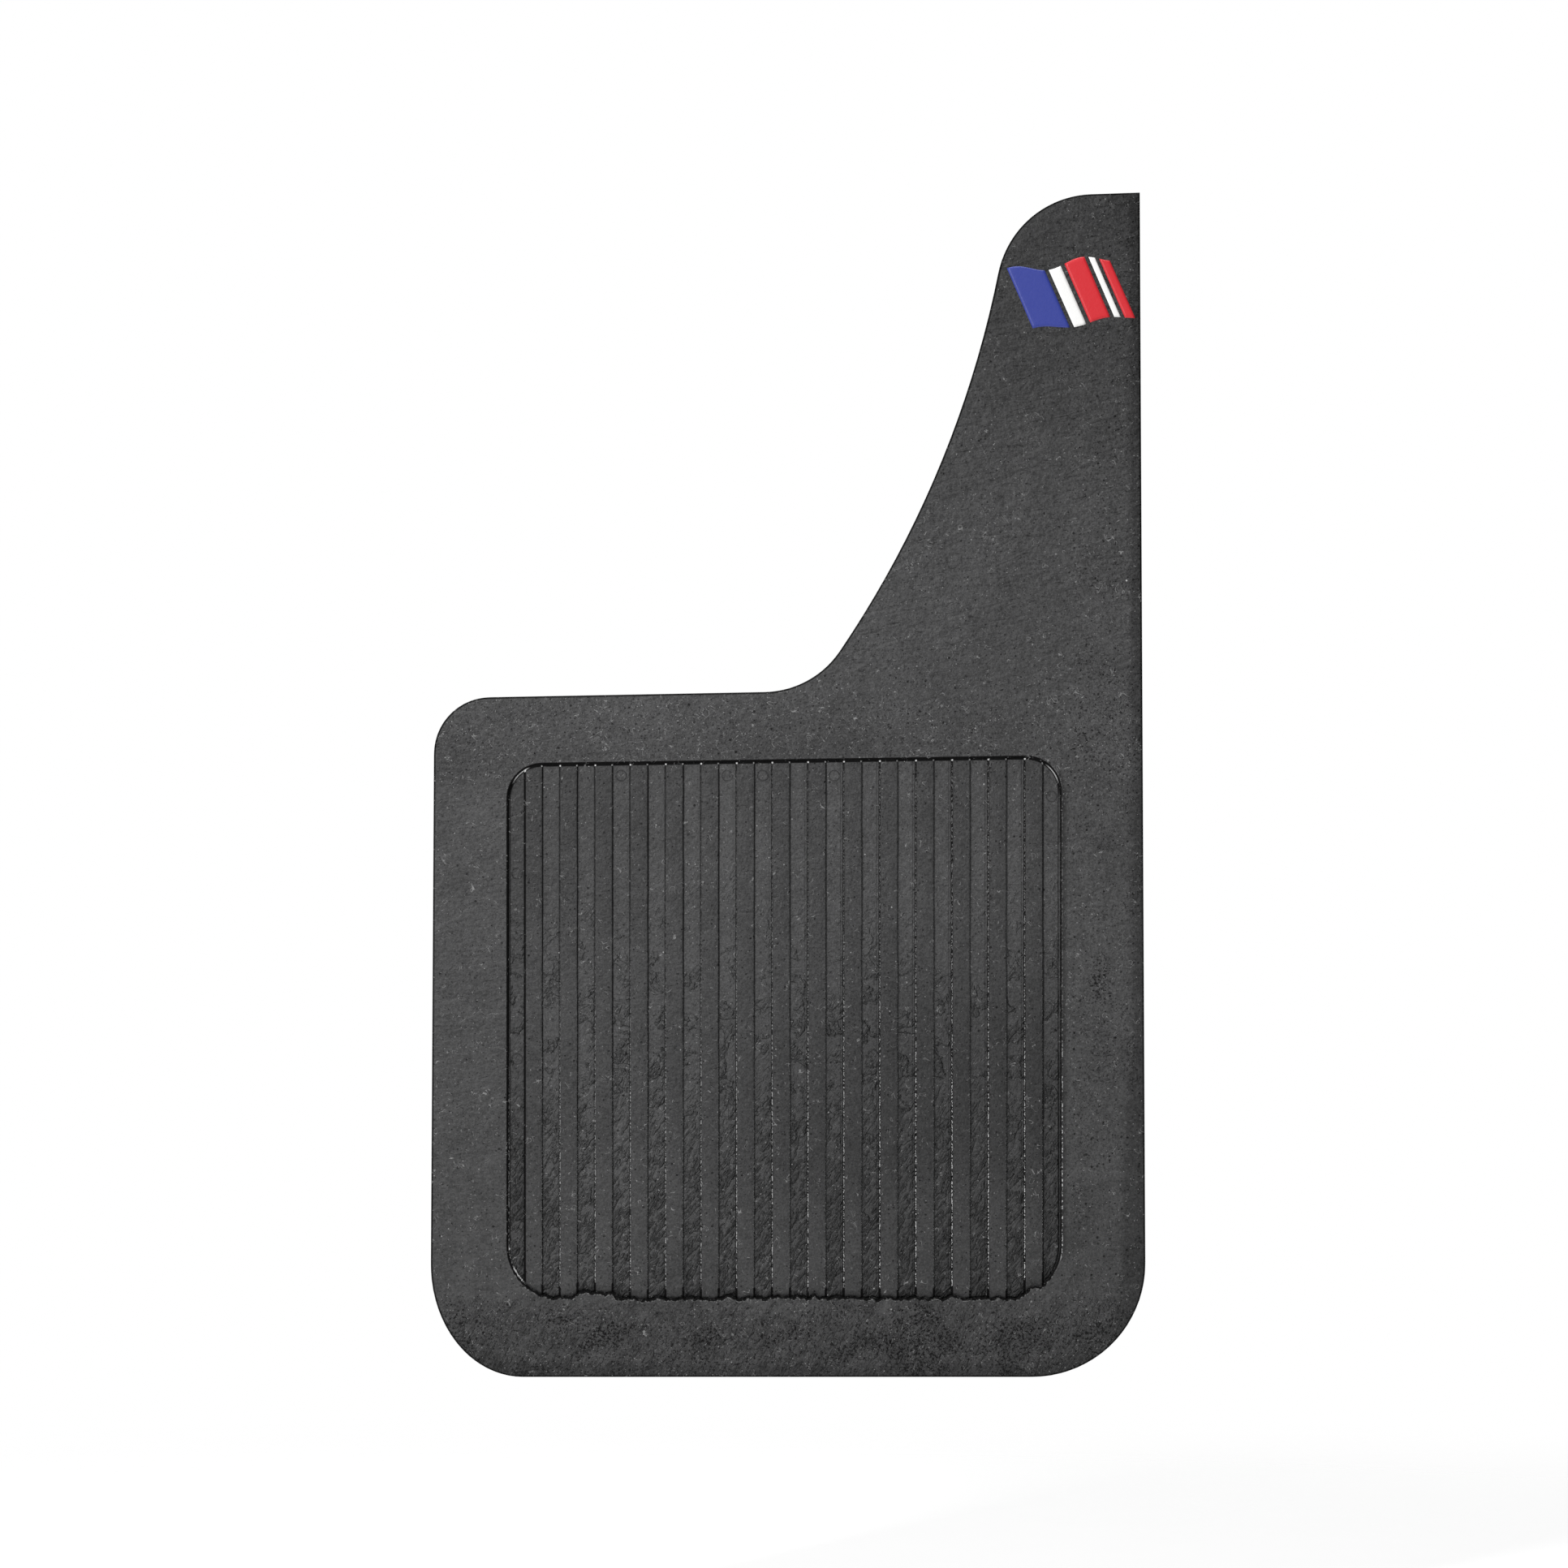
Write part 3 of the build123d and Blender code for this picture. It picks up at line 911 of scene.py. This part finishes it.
def rubber():
    """Black moulded rubber, greyed by bloom and dust, with pits and flow marks, and with painted shade and
    highlights along the ribs, the rim and the outline, and a painted fall of light across the flap.
    """
    n = Nodes("moulded_rubber")
    at = zones(n)
    crowd, pits = pitting(n, at)
    # Painted shade in the crevices along the ribs and the recess's rim
    crevice_shade = n.math("MINIMUM", n.plus(rib_shade_lines(n, at), rim_shade_lines(n, at)), 1.0)
    # Painted shade: a dark line round the outline on the rounded edge, which is also made rougher
    edge_shade = n.step(at.inset, 0.95, 0.4)
    scratch = n.times(
        line(n, n.attribute("scratch"), 0.0, 0.32), n.step(n.noise(at.place, 0.25, 2.0), 0.4, 0.55),
    )
    vent = n.times(line(n, n.attribute("vent"), 2.1, 0.32), n.step(at.grain, 0.38, 0.5))

    # Grain: noise stretched and turned the way that the rubber flowed into the mould
    wrinkle = n.noise(n.turned(at.place, 58.0, (0.2, 0.55, 1.0)), 1.0, 2.0, 0.5, 0.9)
    streak = n.noise(n.turned(at.place, 52.0, (0.1, 0.62, 1.0)), 1.0, 3.0, 0.6, 0.5)
    flow = n.noise(n.turned(at.place, 8.0, (0.07, 0.24, 1.0)), 1.0, 2.0, 0.5, 1.0)
    stroke = n.noise(n.turned(at.place, 5.0, (0.3, 1.3, 1.0)), 1.0, 1.0, 0.5, 0.8)
    ridges = n.math("ABSOLUTE", n.plus(wrinkle, -0.5))
    folds = n.times(n.step(ridges, 0.035, 0.005), n.math("MAXIMUM", at.rough, n.times(at.rough_border, 0.5)))
    smear_share = n.math("MAXIMUM", n.times(at.rough_border, 0.6), n.scaled(at.rough, 0.05, 0.6))
    smears = n.times(n.step(streak, 0.42, 0.34), smear_share)

    level = n.plus(
        n.scaled(n.noise(at.place, 0.02, 3.0, 0.55), 0.8, 1.2),
        n.crisp(at.patch, -0.1, 0.1),
        n.crisp(n.noise(at.place, 0.26, 2.0, 0.6), -0.07, 0.07),
        n.crisp(at.grain, -0.26, 0.26),
        n.crisp(n.noise(at.place, 1.9, 2.0, 0.8), -0.2, 0.2),
    )
    marks = (
        (smears, 0.5),
        (folds, 0.5),
        (n.times(n.step(stroke, 0.36, 0.29), n.scaled(at.on_stem, 0.5, 1.0)), 0.5),
        (crowd, 0.91),
        (n.math("MINIMUM", pits, 1.0), 0.02),
        (crevice_shade, 0.03),
        (edge_shade, 0.05),
        (scratch, 0.5),
        (vent, 0.6),
    )
    shade = level
    for mask, darkness in marks + tones(n, at):
        shade = n.times(shade, n.scaled(mask, 1.0, darkness))
    tone = n.tree.nodes.new("ShaderNodeCombineColor")
    for channel, value in enumerate((1.0, 1.0, 1.01)):
        n.put(tone, channel, n.math("MULTIPLY", shade, BASE_TONE * value))
    n.put(n.shader, "Base Color", n.mix(dust_and_glints(n, at), tone.outputs[0], DUST_AND_GLINT_COLOUR))

    polish = n.plus(
        n.crisp(at.grain, -0.08, 0.08), n.times(smears, -0.12),
        n.times(edge_shade, 0.45), n.times(crevice_shade, 0.4),
    )
    n.put(n.shader, "Roughness", n.plus(0.5, polish))
    n.shader.inputs["Specular IOR Level"].default_value = 0.16
    relief = n.plus(
        n.times(n.noise(at.place, 0.55, 2.0, 0.5), 0.45),
        n.times(flow, n.scaled(at.on_stem, 0.5, 1.0), n.math("SUBTRACT", 1.0, at.ribbed)),
        n.times(at.grain, 0.22),
        n.times(streak, 0.6, n.scaled(at.rough_border, 0.15, 0.7)),
        n.times(wrinkle, 3.6, n.scaled(at.rough, 0.02, 1.0)),
        n.times(ridges, 5.0, n.scaled(at.rough, 0.013, 1.0)),
        n.times(pits, -0.2),
        n.times(scratch, -0.2),
        n.times(vent, -0.15),
    )
    n.put(n.shader, "Normal", n.bump(relief, MM))
    return n.material


def ink(name, colour):
    """Ink of one colour, printed thinly enough for the rubber's grain to show."""
    n = Nodes(name)
    place = n.attribute("place", "Vector")
    grain = n.noise(place, 0.9, 4.0, 0.7)
    thin = n.step(n.noise(place, 0.5, 5.0, 0.8), 0.66, 0.74)
    dark = tuple(c * 0.55 for c in colour[:3]) + (1.0,)
    n.put(n.shader, "Base Color", n.mix(n.math("MULTIPLY", thin, 0.35), colour, dark))
    n.put(n.shader, "Roughness", n.scaled(grain, 0.36, 0.52))
    n.put(n.shader, "Normal", n.bump(grain, INK_RELIEF))
    return n.material


# ---------------------------------------------------------------- the printed ribbon

FILM_LOW, FILM_HIGH = (np.array(corner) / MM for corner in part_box("decal_film"))


def ribbon_points(u, v):
    """Places on the ribbon: u runs 0 to 1 along it and v 0 to 1 up it."""
    x = (u - 0.5) * RIBBON_LENGTH - (v - 0.5) * RIBBON_LEAN
    z = (v - 0.5) * RIBBON_HEIGHT + RIBBON_WAVE * np.sin((u * 1.5 + 0.15) * math.tau) * (0.6 + 0.4 * v)
    c, s = math.cos(math.radians(RIBBON_TILT)), math.sin(math.radians(RIBBON_TILT))
    middle = (FILM_LOW + FILM_HIGH) / 2
    return np.column_stack([middle[0] + x * c - z * s, middle[2] + x * s + z * c])


def bar_mesh(name, start, end, loop):
    """One bar of the ribbon as a thin closed sheet that lies on the stem."""
    across = max(4, round((end - start) * RIBBON_LENGTH))
    up = 24
    u, v = np.meshgrid(np.linspace(start, end, across + 1), np.linspace(0, 1, up + 1))
    points = ribbon_points(u.ravel(), v.ravel())
    under = front_depth(points, distance_in(points, loop), distance_in(points, RIM))
    edge = np.minimum.reduce([u - start, end - u]).ravel() * RIBBON_LENGTH
    edge = np.minimum(edge, (np.minimum(v, 1 - v) * RIBBON_HEIGHT).ravel())
    swell = FILM_THICKNESS * (0.55 + 0.45 * smooth(edge, 0.0, 0.8))
    top = np.column_stack([points[:, 0], FRONT_Y + under - swell, points[:, 1]])
    foot = np.column_stack([points[:, 0], FRONT_Y + under + 0.05, points[:, 1]])
    size = len(points)
    wide = across + 1
    cells = [(r * wide + c, r * wide + c + 1, (r + 1) * wide + c + 1, (r + 1) * wide + c)
             for r in range(up) for c in range(across)]
    faces = cells + [tuple(i + size for i in reversed(cell)) for cell in cells]
    border = list(range(wide)) + [r * wide + across for r in range(1, up + 1)]
    border += [up * wide + c for c in range(across - 1, -1, -1)] + [r * wide for r in range(up - 1, 0, -1)]
    for a, b in zip(border, border[1:] + border[:1]):
        faces.append((b, a, a + size, b + size))
    mesh = bpy.data.meshes.new(name)
    vertices = np.vstack([top, foot])
    mesh.from_pydata((vertices * MM).tolist(), [], faces)
    mesh.shade_smooth()
    place = mesh.attributes.new("place", "FLOAT_VECTOR", "POINT")
    place.data.foreach_set("vector", vertices[:, [0, 2, 1]].astype(np.float32).ravel())
    return mesh


def add_piece(name, mesh, material):
    piece = bpy.data.objects.new(name, mesh)
    bpy.context.scene.collection.objects.link(piece)
    mesh.materials.append(material)
    return piece


def add_flap():
    flap = add_piece("rubber_flap", flap_mesh(), rubber())
    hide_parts("flap_stem", "flap_panel")
    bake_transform(flap)


def add_ribbon():
    inks = {name: ink(f"ink_{name}", colour) for name, colour in INKS.items()}
    loop = edge_loop()
    for number, (colour, start, end) in enumerate(BARS):
        name = f"printed_bar_{number + 1}_{colour}"
        bar = add_piece(name, bar_mesh(name, start, end, loop), inks[colour])
        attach(bar, "stem")
        if number == 0:
            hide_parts("decal_film")


# ---------------------------------------------------------------- studio

def add_camera():
    """Square on to the front, far enough back for a long lens."""
    side = (cad_high.z - cad_low.z) / HEIGHT_SHARE
    camera = bpy.data.cameras.new("camera")
    camera.lens = LENS
    camera.sensor_width = SENSOR
    holder = bpy.data.objects.new("camera", camera)
    bpy.context.scene.collection.objects.link(holder)
    middle = (cad_low + cad_high) / 2
    holder.location = (
        middle.x - PICTURE_RIGHT * MM,
        cad_low.y - side * LENS / SENSOR,
        middle.z + PICTURE_DOWN * MM,
    )
    holder.rotation_euler = (math.pi / 2, 0.0, 0.0)
    bpy.context.scene.camera = holder


def add_light(name, place, size, watts):
    """An area light that faces the middle of the flap."""
    lamp = bpy.data.lights.new(name, "AREA")
    lamp.size = size
    lamp.energy = watts
    holder = bpy.data.objects.new(name, lamp)
    bpy.context.scene.collection.objects.link(holder)
    middle = (cad_low + cad_high) / 2
    holder.location = middle + Vector(place)
    holder.rotation_mode = "QUATERNION"
    holder.rotation_quaternion = (-Vector(place)).to_track_quat("-Z", "Y")


def add_world():
    """White where the camera sees it, and dimmer as a light, so that the key light models the relief."""
    world = bpy.data.worlds.new("studio")
    bpy.context.scene.world = world
    world.use_nodes = True
    tree = world.node_tree
    tree.nodes.clear()
    seen = tree.nodes.new("ShaderNodeBackground")
    seen.inputs["Color"].default_value = (1.0, 1.0, 1.0, 1.0)
    seen.inputs["Strength"].default_value = 1.0
    light = tree.nodes.new("ShaderNodeBackground")
    light.inputs["Color"].default_value = (1.0, 1.0, 1.0, 1.0)
    light.inputs["Strength"].default_value = WORLD_LIGHT
    path = tree.nodes.new("ShaderNodeLightPath")
    mix = tree.nodes.new("ShaderNodeMixShader")
    output = tree.nodes.new("ShaderNodeOutputWorld")
    tree.links.new(path.outputs["Is Camera Ray"], mix.inputs[0])
    tree.links.new(light.outputs[0], mix.inputs[1])
    tree.links.new(seen.outputs[0], mix.inputs[2])
    tree.links.new(mix.outputs[0], output.inputs[0])


def add_floor():
    """A pale round floor below the flap, which fades into the white all round."""
    n = Nodes("pale_floor")
    place = n.tree.nodes.new("ShaderNodeTexCoord").outputs["Object"]
    reach = n.tree.nodes.new("ShaderNodeVectorMath")
    reach.operation = "LENGTH"
    n.put(reach, 0, place)
    fade = n.step(reach.outputs["Value"], FLOOR_RADIUS, FLOOR_RADIUS * 0.25)
    n.shader.inputs["Base Color"].default_value = (0.93, 0.93, 0.93, 1.0)
    n.put(n.shader, "Roughness", n.scaled(n.noise(place, 30.0), 0.7, 0.8))
    clear = n.tree.nodes.new("ShaderNodeBsdfTransparent")
    mix = n.tree.nodes.new("ShaderNodeMixShader")
    n.put(mix, 0, fade)
    n.tree.links.new(clear.outputs[0], mix.inputs[1])
    n.tree.links.new(n.shader.outputs[0], mix.inputs[2])
    n.tree.links.new(mix.outputs[0], n.tree.nodes["Material Output"].inputs["Surface"])

    turns = [math.tau * i / FLOOR_SIDES for i in range(FLOOR_SIDES)]
    rim = [(FLOOR_RADIUS * math.cos(a), FLOOR_RADIUS * math.sin(a), 0.0) for a in turns]
    mesh = bpy.data.meshes.new("floor")
    mesh.from_pydata(rim, [], [tuple(range(len(rim)))])
    floor = add_piece("floor", mesh, n.material)
    middle = (cad_low + cad_high) / 2
    floor.location = (middle.x, middle.y, cad_low.z - FLOOR_DROP)


bpy.context.scene.view_settings.view_transform = "Standard"
add_camera()
add_world()
add_light("key_light", (-0.45, -0.8, 0.38), 0.2, 9.5)
add_light("top_light", (0.0, 0.2, 1.6), 1.4, 40.0)
add_floor()
add_flap()
add_ribbon()
